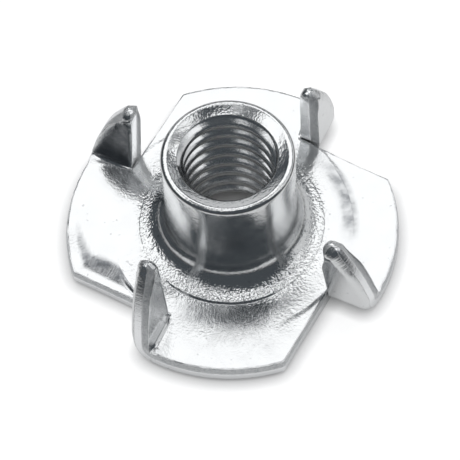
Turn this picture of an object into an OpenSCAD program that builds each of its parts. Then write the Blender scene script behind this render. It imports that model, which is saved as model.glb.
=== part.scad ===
// Four-prong tee nut, pressed from one piece of plated steel sheet.
// It stands on its flange with the barrel up: the origin is on the barrel's axis,
// in the flange's flat underside, and +Z runs up the barrel.

/* [Flange] */

// diameter of the round blank that the flange and the prongs are made from
flange_d = 19; // [17:0.5:26]
// thickness of the steel sheet
sheet = 1.2; // [1:0.05:1.5]
// width of the rise between the flat lobes and the ring round the barrel
rise_width = 1.5; // [1:0.1:2]
// height of the rise
dish_rise = 0.3; // [0.1:0.05:0.5]
// how far the edge that the press rolled over reaches in from a cut face
roll_width = 0.45; // [0.2:0.05:0.6]
// how far the rolled-over edge reaches into the thickness of the sheet
roll_depth = 0.28; // [0.1:0.02:0.36]

/* [Barrel] */

// height from the underside of the flange to the top of the barrel
height = 8.6; // [7.5:0.1:12]
// thickness of the barrel's wall outside the thread's nominal diameter
wall = 0.75; // [0.6:0.05:1]
// radius of the rounded outer edge at the top of the barrel
lip_radius = 0.28; // [0.1:0.02:0.4]
// fall of the barrel's top face from the lip to the mouth
rim_fall = 0.06; // [0.02:0.02:0.2]
// how far the hollow flare spreads, from the barrel's wall to the ring
flare_width = 1.55; // [1.2:0.05:1.9]
// radius of the flare
flare_radius = 1.75; // [1.6:0.05:2.1]

/* [Thread] */

// nominal diameter of the metric coarse thread
thread_d = 6; // [5:0.5:7]
// pitch of the thread
pitch = 1; // [0.8:0.05:1.25]
// depth of the chamfer at the mouth of the thread
mouth_depth = 0.4; // [0.2:0.05:0.6]
// radius of the rounded way in from the underside
entry_radius = 0.6; // [0.3:0.05:0.9]

/* [Prongs] */

// number of lobes, each with one prong
lobes = 4; // [3:1:4]
// how far the slits stay outside the rise
slit_out = 0.08; // [0.05:0.01:0.4]
// direction in which a lobe's slit faces, turned from the middle of the lobe
slit_angle = 65.5; // [63:0.5:68]
// direction in which a prong's outer face looks, turned from the middle of its lobe
fold_angle = 248.4; // [246:0.2:250]
// distance of a prong's inner face from the barrel's axis
fold_offset = 0.9; // [0.6:0.05:1.4]
// radius inside the fold
fold_radius = 0.15; // [0.1:0.05:0.5]
// share of the sheet's thickness at which the fold keeps its length
fold_factor = 0.33; // [0.33:0.01:0.5]
// how far each prong in turn falls short of upright
spring_back = [1, 0, 1, 4]; // [0:0.5:6]
// how far the press draws a prong's edge out past the blank's own edge
draw_out = 0.06; // [0:0.02:0.2]
// width of the shear gap beside each prong
slit_gap = 0.1; // [0.03:0.01:0.2]
// radius of the rounded tip of a prong
tip_radius = 0.3; // [0.2:0.05:0.6]
// radius of the rounded corner where a slit leaves the rim
corner_radius = 0.35; // [0.1:0.05:0.6]

/* [Hidden] */

$fn = 96;
steel = [0.74, 0.76, 0.78];

flange_r = flange_d / 2;
thread_r = thread_d / 2;
// the crests of an internal metric thread stand 0.5 pitch inside the nominal radius
bore_r = thread_r - 0.5 * pitch;

// outward from the thread: the barrel, the ring, the start of the flat lobes, the slits
barrel_r = thread_r + wall;
ring_r = barrel_r + flare_width;
dish_r = ring_r + rise_width;
slit_offset = dish_r + slit_out;

// how far surfaces that blend into each other cross, so that each meets the next cleanly
cross = 0.01;

// centre of the flare's arc, which leaves the barrel's wall and ends at the ring
flare_x = barrel_r + flare_radius - cross;
flare_z = sheet + dish_rise + sqrt(pow(flare_radius, 2) - pow(flare_x - ring_r, 2)) - cross / 4;

// angle between a prong's slit and the square across its fold
lean = fold_angle + 90 - 360 - (slit_angle - 90);

// the fold: where the flat ends, its outer radius, its flat length, and where the prong starts
fold_start = fold_offset - fold_radius;
fold_outer = fold_radius + sheet;
fold_length = PI / 2 * (fold_radius + fold_factor * sheet);
prong_z = sheet + fold_radius;

// height of the blank's centre on the upright prong, once the fold has used its length
blank_z = prong_z - fold_start - fold_length;

// radius of a prong's curved edge
prong_r = flange_r + draw_out;

// near end of the fold, beside the slit
fold_side = slit_offset / cos(lean) - fold_start * tan(lean) + slit_gap;
// depth of the prong's root in the flange
root = 0.3;

// turn at which a rounded corner runs out straight
run_out = 15;

// height of the bulge that the fold leaves on a prong's outer edge
heel_height = 0.7;

// height of a prong's tip above the start of its upright blade, near enough for the rolled edge
blade_height = sqrt(pow(prong_r, 2) - pow(slit_offset, 2)) + blank_z - prong_z;

// arc of the rolled-over edge: it meets the surface and the cut face
roll_chord = norm([roll_width, roll_depth]);
roll_radius = 0.55 * pow(roll_chord, 2) / roll_depth;
roll_centre = [-roll_width, -roll_depth] / 2
    - [roll_depth, roll_width] / roll_chord * sqrt(pow(roll_radius, 2) - pow(roll_chord / 2, 2));

step = 360 / lobes;
far = 3 * flange_r;

// point at an angle and a distance
function polar(radius, angle) = radius * [cos(angle), sin(angle)];

// points of an arc round a centre, from one angle to another
function arc(centre, radius, from, to, parts) =
    [for (i = [0:parts]) centre + polar(radius, from + (to - from) * i / parts)];

// What the rolled-over edge takes away, in section: the cut face stands at x = 0 with the
// sheet to the left of it, and the surface lies at y = 0.
module roll_cut() {
    difference() {
        polygon([
            [roll_centre[0], 0],
            [roll_centre[0], 1],
            [1, 1],
            [1, -1.9 * roll_depth],
            [0, -1.9 * roll_depth]
        ]);
        translate(roll_centre)
            circle(r = roll_radius);
    }
}

// The rolled-over lower edge of the rim, in half section.
module rim_roll() {
    translate([flange_r, 0])
        mirror([0, 1])
            roll_cut();
}

// Half section of the nut, with the radius to the right and the height up.
module section() {
    difference() {
        union() {
            // barrel wall
            translate([bore_r, 0])
                square([barrel_r - bore_r, height]);
            // flange and the rise toward the ring
            polygon([
                [bore_r, 0],
                [flange_r, 0],
                [flange_r, sheet],
                [dish_r, sheet],
                [ring_r, sheet + dish_rise],
                [bore_r, sheet + dish_rise]
            ]);
            // the metal that the flare is hollowed from
            difference() {
                translate([bore_r, 0])
                    square([ring_r - bore_r, flare_z]);
                translate([flare_x, flare_z])
                    circle(r = flare_radius);
            }
        }
        rim_roll();
        // rounded outer edge of the barrel's top
        difference() {
            translate([barrel_r - lip_radius, height - lip_radius])
                square(2 * lip_radius);
            translate([barrel_r - lip_radius, height - lip_radius])
                circle(r = lip_radius);
        }
        // top face that falls to the mouth, and the chamfer of the mouth
        polygon([
            [0, height + 1],
            [barrel_r - lip_radius, height + 1],
            [barrel_r - lip_radius, height],
            [thread_r, height - rim_fall],
            [bore_r, height - rim_fall - mouth_depth],
            [0, height - rim_fall - mouth_depth]
        ]);
        // hollow of the dished underside
        polygon([
            [0, -1],
            [dish_r, -1],
            [dish_r, 0],
            [ring_r, dish_rise],
            [0, dish_rise]
        ]);
        // rounded way in from below
        difference() {
            translate([bore_r - 1, dish_rise - 1])
                square([entry_radius + 1, entry_radius + 1]);
            translate([bore_r + entry_radius, dish_rise + entry_radius])
                circle(r = entry_radius);
        }
    }
}

// where the slit beside a lobe meets the lobe's fold
slit_turn = slit_angle - step;
across = polar(1, slit_turn);
along = polar(1, slit_turn - 90);
fold_out = polar(1, fold_angle);
fold_along = polar(1, fold_angle + 90);
reach = (fold_start - slit_offset * (across * fold_out)) / (along * fold_out);

// Plan of one slit and of the strip beyond it, which is folded up into a prong.
// The slit runs along the lobe before this one, whose outer corner is rounded.
module notch_plan() {
    inner = slit_offset * across + reach * along;
    round_x = slit_offset - corner_radius;
    round_y = sqrt(pow(flange_r - corner_radius, 2) - pow(round_x, 2));
    centre = round_x * across + round_y * along;
    last = atan2(centre[1], centre[0]) + run_out;
    polygon(concat(
        [inner],
        arc(centre, corner_radius, slit_turn, last, 6),
        [
            centre + polar(corner_radius, last) + polar(far, last - 90),
            inner + far * (fold_along + fold_out),
            inner + far * fold_along
        ]
    ));
}

// What the rolled-over lower edge takes from a lobe along its slit. It deepens from
// nothing at the fold to its full depth at the rim.
module slit_roll() {
    length = sqrt(pow(flange_r, 2) - pow(slit_offset, 2)) - reach;
    rotate(slit_turn)
        mirror([0, 0, 1])
            translate([slit_offset, -reach, roll_depth])
                rotate([90 + atan((roll_depth - 2 * cross) / length), 0, 0])
                    translate([0, 0, 0.1])
                        linear_extrude(length + 1)
                            roll_cut();
}

// The flange and the barrel, without the prongs.
module body() {
    difference() {
        rotate_extrude()
            section();
        for (i = [0:lobes - 1])
            rotate(i * step) {
                translate([0, 0, -1])
                    linear_extrude(height + 2)
                        notch_plan();
                slit_roll();
            }
    }
}

// Outline of a prong and its fold, seen square to the blade, with the distance along the
// fold to the right and the height up.
module prong_outline() {
    blank = [0, blank_z];
    // centre of the tip's rounding: it touches the slit's side and the curved edge
    depth = ([fold_side, prong_z] - blank) * polar(1, lean) + tip_radius;
    rise = sqrt(pow(prong_r - tip_radius, 2) - pow(depth, 2));
    tip = blank + polar(depth, lean) + polar(rise, 90 + lean);
    last = atan2(tip[1] - blank_z, tip[0]) + run_out;
    // bulge at the foot, from the curved edge down to the rim of the flange
    heel_z = prong_z + heel_height;
    heel_s = sqrt(pow(prong_r, 2) - pow(heel_z - blank_z, 2)) - 2 * cross;
    spread = (flange_r - heel_s) / heel_height;
    intersection() {
        union() {
            translate(blank)
                circle(r = prong_r);
            polygon([
                [0, -1],
                [heel_s + spread * (heel_z + 1), -1],
                [heel_s, heel_z],
                [0, heel_z]
            ]);
        }
        polygon(concat(
            [[far, -1], [fold_side, -1], [fold_side, prong_z]],
            arc(tip, tip_radius, 180 + lean, last, 6),
            [tip + polar(tip_radius, last) + polar(1, last - 90), [far, far]]
        ));
    }
}

// Everything inside a bend of the sheet: above the flange and behind the blade, with the
// corner between them rounded by a radius round the fold's centre.
module bend(radius, short) {
    centre = [fold_start, prong_z];
    corner = centre + polar(radius / cos((90 - short) / 2), -(90 + short) / 2);
    difference() {
        polygon([
            [fold_start - far, prong_z - radius],
            corner,
            corner + far * polar(1, 90 - short),
            [fold_start - far, far]
        ]);
        difference() {
            polygon([centre, centre + polar(far, -90), centre + polar(far, -short)]);
            translate(centre)
                circle(r = radius + cross / 4);
        }
    }
}

// Section of the folded sheet, square to the fold: the flange's edge lies flat on the left
// and the blade stands on the right, short of upright by an angle.
module fold_section(short) {
    difference() {
        bend(fold_outer, short);
        bend(fold_radius, short);
        translate([fold_start - root - 2 * far, -far])
            square([2 * far, 3 * far]);
    }
}

// What the rolled-over edges take from a blade: from its inner face along the slit, and
// from its outer face along the curved edge. Each deepens from nothing at the foot to its
// full depth at the tip.
module blade_roll() {
    slope = atan((roll_depth - 2 * cross) / blade_height);
    translate([fold_side, fold_offset - roll_depth, prong_z])
        rotate([-slope, 0, 0])
            rotate([0, lean, 180])
                linear_extrude(blade_height + 2)
                    roll_cut();
    translate([0, fold_offset + sheet + roll_depth, prong_z])
        rotate([slope, 0, 0])
            translate([0, 0, blank_z - prong_z])
                mirror([0, 1, 0])
                    rotate([90, 0, 0])
                        rotate_extrude(angle = 60)
                            translate([prong_r, 0])
                                roll_cut();
}

// One prong with its fold, short of upright by an angle. It is drawn with the fold along
// +X and the flange behind it at smaller Y, and is then turned to its lobe.
module prong(short) {
    rotate(fold_angle - 90)
        mirror([1, 0, 0])
            difference() {
                intersection() {
                    rotate([90, 0, 90])
                        linear_extrude(far)
                            fold_section(short);
                    translate([0, fold_start + far, 0])
                        rotate([90, 0, 0])
                            linear_extrude(2 * far)
                                prong_outline();
                }
                translate([0, fold_start, prong_z])
                    rotate([-short, 0, 0])
                        translate([0, -fold_start, -prong_z])
                            blade_roll();
            }
}

// The whole nut: one pressed piece.
module tee_nut() {
    color(steel)
        union() {
            body();
            intersection() {
                // the prongs stay within the rim and its rolled-over edge
                rotate_extrude()
                    difference() {
                        square([flange_r, far]);
                        rim_roll();
                    }
                for (i = [0:lobes - 1])
                    rotate(i * step)
                        prong(spring_back[i]);
            }
        }
}

tee_nut();
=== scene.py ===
"""Visual model of a four-prong tee nut, pressed from one piece of plated steel sheet.

The nut stands on its flange with the barrel up. Sizes in the classes are millimetres, the
mesh is made in metres, and angles are degrees unless a name says otherwise.
"""

from __future__ import annotations

import logging
import math
from dataclasses import dataclass, field
from enum import Enum

import bmesh
import bpy
import numpy as np
from mathutils import Matrix, Vector, noise

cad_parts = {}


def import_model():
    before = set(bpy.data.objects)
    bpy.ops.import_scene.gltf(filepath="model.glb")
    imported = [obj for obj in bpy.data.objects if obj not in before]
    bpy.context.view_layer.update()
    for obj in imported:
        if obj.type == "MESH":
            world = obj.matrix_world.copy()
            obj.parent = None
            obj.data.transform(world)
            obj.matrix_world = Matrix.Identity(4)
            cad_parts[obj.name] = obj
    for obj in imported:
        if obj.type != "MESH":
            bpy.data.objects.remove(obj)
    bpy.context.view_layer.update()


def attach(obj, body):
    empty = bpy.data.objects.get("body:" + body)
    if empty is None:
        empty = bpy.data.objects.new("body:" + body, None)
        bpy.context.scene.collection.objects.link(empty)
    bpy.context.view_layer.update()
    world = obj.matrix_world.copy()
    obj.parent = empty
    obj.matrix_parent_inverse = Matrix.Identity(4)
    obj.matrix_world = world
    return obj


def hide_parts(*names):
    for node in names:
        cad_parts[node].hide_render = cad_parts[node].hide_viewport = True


LOG = logging.getLogger("tee_nut")

MM = 0.001

Colour = tuple[float, float, float]
Profile = list[tuple[float, ...]]


class Mark(Enum):
    """What is known of each point of the surface, for its finish to read."""

    SHEARED = "sheared"  # cut by the punch
    TORN = "torn"  # torn off below the cut
    BORE = "bore"  # inside the nut
    DRAWN = "drawn"  # how far the sheet was drawn
    RUN = "run"  # place along an edge
    DEEP = "deep"  # place across it
    RIM = "rim"  # rubbed, beside an edge
    GRAIN = "grain"  # pebbled by the press
    PAINTED_SHADE = "dull"  # painted shade: dark reflections painted into the plating's colour


MARKS = list(Mark)


def polar(angle: float | np.ndarray, radius: float | np.ndarray = 1.0) -> np.ndarray:
    """Points of the plane at an angle and a distance.

    Args:
        angle: angle or angles from +X.
        radius: distance or distances from the axis.

    Returns:
        An array that ends in two coordinates.
    """
    turn = np.radians(angle)
    return np.stack([radius * np.cos(turn), radius * np.sin(turn)], axis=-1)


def ramp(value: np.ndarray | float, low: float, high: float) -> np.ndarray:
    """Smooth step from 0 at low to 1 at high."""
    t = np.clip((np.asarray(value, float) - low) / (high - low), 0.0, 1.0)
    return t * t * (3.0 - 2.0 * t)


@dataclass(frozen=True)
class Ripple:
    """Smooth unevenness of the metal, in millimetres.

    The size is the width of its largest ripples, the seed makes one noise differ from
    another, and the octaves are how many sizes of ripple are added.
    """

    size: float
    seed: float
    octaves: int = 2
    height: float = 1.0

    def at(self, points: np.ndarray) -> np.ndarray:
        """Height of the ripples, about -1 to 1 times their full height.

        Args:
            points: positions in millimetres, with three coordinates each.

        Returns:
            One value for each point.
        """
        flat = points.reshape(-1, 3) / self.size + self.seed
        total = np.zeros(len(flat))
        weight, scale = 1.0, 1.0
        for _ in range(self.octaves):
            total += weight * np.array([noise.noise(Vector(p)) for p in flat * scale])
            weight, scale = weight * 0.5, scale * 2.1
        return total.reshape(points.shape[:-1]) * self.height


def distance_to_path(points: np.ndarray, path: np.ndarray) -> tuple[np.ndarray, np.ndarray]:
    """Distance from points of a plane to a path of straight stretches.

    Args:
        points: positions, with two coordinates each.
        path: corners of the path.

    Returns:
        The distances, and how far along the path the nearest place lies.
    """
    flat = points.reshape(-1, 1, 2)
    start, end = path[:-1], path[1:]
    side = end - start
    length = np.linalg.norm(side, axis=1)
    t = ((flat - start) * side).sum(-1) / np.maximum(length**2, 1e-12)
    t = np.clip(t, 0.0, 1.0)
    gap = np.linalg.norm(flat - (start + t[..., None] * side), axis=-1)
    best = gap.argmin(axis=1)
    rows = np.arange(len(best))
    run = np.concatenate([[0.0], np.cumsum(length)])
    along = run[best] + t[rows, best] * length[best]
    shape = points.shape[:-1]
    return gap[rows, best].reshape(shape), along.reshape(shape)


class Skin:
    """Collects the points and faces of one closed surface."""

    def __init__(self) -> None:
        """Starts an empty skin."""
        self.points: list[np.ndarray] = []
        self.marks: list[np.ndarray] = []
        self.faces: list[np.ndarray] = []
        self.count = 0

    def add(self, points: np.ndarray, **marks: np.ndarray | float) -> np.ndarray:
        """Adds points.

        Args:
            points: positions in millimetres, with three coordinates each.
            marks: values of any Mark, by its lower-case name, one each or one for all.

        Returns:
            The points' numbers, in the shape of the points.
        """
        shape = points.shape[:-1]
        amount = int(np.prod(shape))
        table = np.zeros((amount, len(MARKS)))
        for column, mark in enumerate(MARKS):
            value = np.broadcast_to(marks.get(mark.value, 0.0), shape)
            table[:, column] = value.reshape(-1)
        self.points.append(points.reshape(-1, 3))
        self.marks.append(table)
        numbers = np.arange(self.count, self.count + amount).reshape(shape)
        self.count += amount
        return numbers

    def grid(self, rows: np.ndarray, closed: bool = False) -> None:
        """Adds the faces between neighbouring rows and columns of point numbers.

        Args:
            rows: point numbers, one row after another.
            closed: whether the last column meets the first.
        """
        if closed:
            rows = np.concatenate([rows, rows[:, :1]], axis=1)
        corners = [rows[:-1, :-1], rows[:-1, 1:], rows[1:, 1:], rows[1:, :-1]]
        self.faces.append(np.stack(corners, axis=-1).reshape(-1, 4))

    def double(self, coarse: np.ndarray, fine: np.ndarray) -> None:
        """Joins a ring of points to a ring of twice as many.

        Args:
            coarse: numbers of the ring with fewer points.
            fine: numbers of the ring with twice as many, starting beside it.
        """
        after = np.roll(coarse, -1)
        first, middle, last = fine[0::2], fine[1::2], np.roll(fine[0::2], -1)
        for a, b, c in ((coarse, middle, first), (coarse, after, middle), (after, last, middle)):
            self.faces.append(np.stack([a, b, c, c], axis=-1))

    def rings(self) -> list[list[int]]:
        """Finds the faces that keep an area where corners fell together.

        Returns:
            Rings of point numbers.
        """
        faces = []
        for quad in np.concatenate(self.faces).tolist():
            ring = [p for n, p in enumerate(quad) if p != quad[n - 1]]
            if len(set(ring)) == len(ring) and len(ring) > 2:
                faces.append(ring)
        return faces

    def build(self, name: str) -> bpy.types.Object:
        """Makes the mesh object and reports it.

        Args:
            name: name of the piece.

        Returns:
            The object, in metres, with one attribute for each Mark.
        """
        mesh = bpy.data.meshes.new(name)
        mesh.from_pydata((np.concatenate(self.points) * MM).tolist(), [], self.rings())
        marks = np.concatenate(self.marks)
        for column, mark in enumerate(MARKS):
            layer = mesh.attributes.new(mark.value, "FLOAT", "POINT")
            layer.data.foreach_set("value", marks[:, column])
        work = bmesh.new()
        work.from_mesh(mesh)
        loose = [v for v in work.verts if not v.link_faces]
        bmesh.ops.delete(work, geom=loose, context="VERTS")
        bmesh.ops.recalc_face_normals(work, faces=work.faces)
        work.to_mesh(mesh)
        open_edges = sum(1 for e in work.edges if len(e.link_faces) != 2)
        volume = work.calc_volume(signed=True)
        work.free()
        if volume < 0:
            mesh.flip_normals()
        mesh.shade_smooth()
        made = bpy.data.objects.new(name, mesh)
        bpy.context.scene.collection.objects.link(made)
        triangles = sum(len(p.vertices) - 2 for p in mesh.polygons)
        LOG.info("%s: %d triangles, %d open edges, %.1f mm3", name, triangles, open_edges,
                 abs(volume) / MM**3)
        return made


@dataclass(frozen=True)
class NutSizes:
    """Sizes of the whole nut that its zones share, in millimetres."""

    flange_r: float = 9.5
    sheet: float = 1.2
    dish_r: float = 6.8
    dish_rise: float = 0.3
    crown_at: tuple[float, ...] = (5.34, 5.45, 5.6, 5.8, 6.0, 6.2, 6.4, 6.6, 6.8, 7.0, 7.2,
                                   7.4, 7.6, 7.8, 8.0, 8.3, 8.6)
    crown_rise: tuple[float, ...] = (0.145, 0.139, 0.131, 0.121, 0.112, 0.103, 0.0935, 0.082,
                                     0.0695, 0.056, 0.042, 0.03, 0.02, 0.0125, 0.007, 0.0025,
                                     0.0)
    ring_r: float = 5.3
    height: float = 8.6
    barrel_r: float = 3.75
    lip_radius: float = 0.28
    flare_radius: float = 1.5
    flare_turn: float = 77.0
    ring_slope: float = 12.0
    thread_r: float = 3.0
    bore_r: float = 2.5
    mouth_r: float = 2.83
    mouth_z: float = 8.34
    mouth_depth: float = 0.42
    entry_radius: float = 0.6
    lobes: int = 4
    slit_offset: float = 6.88
    slit_angle: float = 65.5
    slit_gap: float = 0.04
    fold_angle: float = 248.4
    fold_start: float = 0.75
    fold_radius: float = 0.15
    fold_length: float = 0.858
    fold_fillet: float = 0.42
    fillet_grows: tuple[float, float] = (0.02, 0.6)
    fillet_fades: tuple[float, float] = (9.4, 8.8)
    lean: float = 2.9
    prong_r: float = 9.56
    corner_radius: float = 0.35
    roll_width: float = 0.45
    roll_depth: float = 0.28
    roll_bend: float = 0.52

    @property
    def step(self) -> float:
        """Angle from one lobe to the next."""
        return 360.0 / self.lobes

    @property
    def fold_way(self) -> np.ndarray:
        """Direction of the first lobe's fold, out towards the rim."""
        return polar(self.fold_angle + 90.0)

    @property
    def fold_out(self) -> np.ndarray:
        """Direction across the first lobe's fold, from the lobe to its prong."""
        return polar(self.fold_angle)

    @property
    def slit_end(self) -> np.ndarray:
        """Inner end of the slit before the first lobe, where its fold starts.

        Returns:
            A place in the plane.
        """
        turn = self.slit_angle - self.step
        across, along = polar(turn), polar(turn - 90.0)
        reach = self.fold_start - self.slit_offset * (across @ self.fold_out)
        return self.slit_offset * across + reach / (along @ self.fold_out) * along

    @property
    def inner_r(self) -> float:
        """Distance of the slits' inner ends from the axis."""
        return float(np.linalg.norm(self.slit_end))

    @property
    def inner_turn(self) -> float:
        """Direction of the first slit's inner end."""
        end = self.slit_end
        return math.degrees(math.atan2(end[1], end[0]))

    @property
    def fold_from(self) -> float:
        """Distance along the fold at which it starts, at the slit's end."""
        return float(self.slit_end @ self.fold_way)

    @property
    def fold_to(self) -> float:
        """Distance along the fold at which it meets the rim."""
        return math.sqrt(self.flange_r**2 - self.fold_start**2)

    @property
    def fold_rim(self) -> np.ndarray:
        """Place where the first lobe's fold meets the rim."""
        return self.fold_to * self.fold_way + self.fold_start * self.fold_out

    def fillet(self, along: np.ndarray, y: np.ndarray, z: np.ndarray) -> tuple[
            np.ndarray, np.ndarray]:
        """Rounds the inner corner between a lobe and its prong.

        Args:
            along: distance along the fold.
            y: distance out from the axis, across the fold.
            z: height.

        Returns:
            The distance out and the height, moved on to the rounding where they lay
            outside it.
        """
        first, last = self.fillet_grows
        full = ramp(along, self.fold_from + first, self.fold_from + last)
        full = full * ramp(along, *self.fillet_fades)
        r = self.fold_radius + (self.fold_fillet - self.fold_radius) * full
        dy = self.fold_start + self.fold_radius - r - y
        dz = self.sheet + r - z
        gap = np.hypot(dy, dz)
        outside = (dy < 0.0) & (dz > 0.0) & (gap > r)
        pull = np.where(outside, 1.0 - r / np.maximum(gap, 1e-9), 0.0)
        return y + dy * pull, z + dz * pull

    def crown(self, radius: np.ndarray | float) -> np.ndarray:
        """Height of the dished middle above the flange's top, outside the ring."""
        return np.interp(radius, self.crown_at, self.crown_rise)

    def roll(self, gap: np.ndarray, depth: np.ndarray | float = 1.0) -> np.ndarray:
        """How deep the rolled-over edge is at a distance from the cut face.

        Args:
            gap: distance from the cut face.
            depth: share of the full depth.

        Returns:
            The depth below the flat surface.
        """
        chord = math.hypot(self.roll_width, self.roll_depth)
        radius = self.roll_bend * chord**2 / self.roll_depth
        half = math.sqrt(radius**2 - (chord / 2) ** 2)
        cx = -self.roll_width / 2 - self.roll_depth / chord * half
        cy = -self.roll_depth / 2 - self.roll_width / chord * half
        x = np.clip(-np.asarray(gap, float), -self.roll_width, 0.0)
        fall = -(cy + np.sqrt(np.maximum(radius**2 - (x - cx) ** 2, 0.0)))
        return np.clip(fall, 0.0, None) * depth


@dataclass(frozen=True)
class LobeFit:
    """How one lobe and its prong came out of the press.

    The spring-back is in degrees, the stretch and the lean are slopes or shares of the prong's
    height, and the shares of painted shade go from 0 to 1. The rest is in millimetres.
    """

    spring_back: float
    sag: float
    shift: float
    stretch: float
    tip_radius: float
    lean: float = 0.0
    # painted shade on the prong's inner face and in a band inside the lobe's edge, standing in for
    # dark reflections
    dull_prong: float = 0.0
    dull_edge: float = 0.0


@dataclass(frozen=True)
class PaintedReflection:
    """A painted dark reflection on the flange's upper side, by its place round the axis."""

    turn: float
    half_turn: float
    radius: float
    half_width: float
    strength: float

    def cover(self, points: np.ndarray) -> np.ndarray:
        """How much of the patch there is at each place.

        Args:
            points: places in the nut's own frame.

        Returns:
            A share from 0 up to the patch's strength.
        """
        off = np.abs(np.degrees(np.arctan2(points[..., 1], points[..., 0])) - self.turn)
        far = np.abs(np.hypot(points[..., 0], points[..., 1]) - self.radius)
        patch = ramp(off, self.half_turn, self.half_turn * 0.4)
        return self.strength * patch * ramp(far, self.half_width, self.half_width * 0.2)


@dataclass(frozen=True)
class PaintedDarkPatches:
    """All the painted dark patches on the flange, which stand in for dark reflections."""

    uneven: Ripple = Ripple(size=0.55, seed=6.6, octaves=3, height=0.6)
    average: float = 0.75
    # painted dark reflections on the dish: one of a prong, one of the barrel
    painted_reflections: tuple[PaintedReflection, ...] = (
        PaintedReflection(turn=18.0, half_turn=28.0, radius=6.7, half_width=0.65, strength=0.85),
        PaintedReflection(turn=-90.0, half_turn=30.0, radius=6.2, half_width=0.9, strength=0.6),
    )

    def at(self, points: np.ndarray, other: np.ndarray | float = 0.0) -> np.ndarray:
        """How much painted shade the metal takes at each place.

        Args:
            points: places in the nut's own frame.
            other: cover of any further patch there.

        Returns:
            A share from 0 to 1, broken up by noise.
        """
        uneven = np.clip(self.average + self.uneven.at(points), 0.0, 1.0)
        for reflection in self.painted_reflections:
            other = np.maximum(other, reflection.cover(points))
        return other * uneven


@dataclass
class ThreadedBore:
    """The way through the nut: mouth, right-hand thread and rounded way in."""

    sizes: NutSizes
    columns: int
    pitch: float = 1.0
    crest_half: float = 0.149
    flank: float = 0.2887
    worn: Ripple = Ripple(size=0.35, seed=3.1, octaves=1, height=0.006)
    close: float = 0.004

    def profile(self) -> tuple[np.ndarray, np.ndarray]:
        """One pitch of the thread.

        Returns:
            Heights over one pitch from a crest, and the radius at each.
        """
        c, f = self.crest_half, self.flank
        low, high = self.sizes.bore_r, self.sizes.thread_r
        up = [(c - 0.02, low + 0.004), (c + 0.02, low + 0.035),
              (c + f / 3, low + (high - low) / 3), (c + 2 * f / 3, low + (high - low) * 2 / 3),
              (c + f - 0.015, high - 0.03), (c + f + 0.03, high)]
        down = [(1.0 - z, r) for z, r in reversed(up)]
        before = [(z - 1.0, r) for z, r in down[-2:]]
        table = np.array(before + [(0.0, low)] + up + down[:-2])
        return table[:, 0] * self.pitch, table[:, 1]

    def build(self, skin: Skin, turns: np.ndarray, top: np.ndarray, foot: np.ndarray) -> None:
        """Adds the bore between the mouth's ring and the underside's ring.

        Args:
            skin: the surface to add to.
            turns: direction of each column.
            top: numbers of the ring round the mouth.
            foot: numbers of the ring round the way in.
        """
        s = self.sizes
        heights, radii = self.profile()
        first = s.dish_rise - 2.0 * self.pitch
        loops = int(math.ceil((s.mouth_z - first) / self.pitch)) + 1
        base = np.concatenate([heights + first + n * self.pitch for n in range(loops)])
        thread = np.tile(radii, loops)[:, None]
        z = base[:, None] + self.pitch * (turns[None, :] - turns[0]) / 360.0
        near_mouth = (z - (s.mouth_z - s.mouth_depth)) / s.mouth_depth
        mouth = s.bore_r + (s.mouth_r - s.bore_r) * np.clip(near_mouth, 0.0, None)
        fall = np.clip(s.dish_rise + s.entry_radius - z, 0.0, s.entry_radius)
        entry = s.bore_r + s.entry_radius - np.sqrt(s.entry_radius**2 - fall**2)
        radius = np.maximum(np.maximum(thread, mouth), entry)
        points = np.concatenate([polar(turns[None, :], radius), z[..., None]], axis=-1)
        points[..., :2] += polar(turns)[None] * self.worn.at(points)[..., None]
        groove = (thread - s.bore_r) / (s.thread_r - s.bore_r)
        rows = skin.add(points, bore=1.0, deep=groove, run=z)
        below, above = z <= s.dish_rise + self.close, z >= s.mouth_z - self.close
        rows = np.where(below, foot[None, :], np.where(above, top[None, :], rows))
        skin.grid(rows)
        per_turn = len(heights)
        skin.grid(np.stack([rows[:-per_turn, -1], rows[per_turn:, 0]], axis=1))


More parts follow.
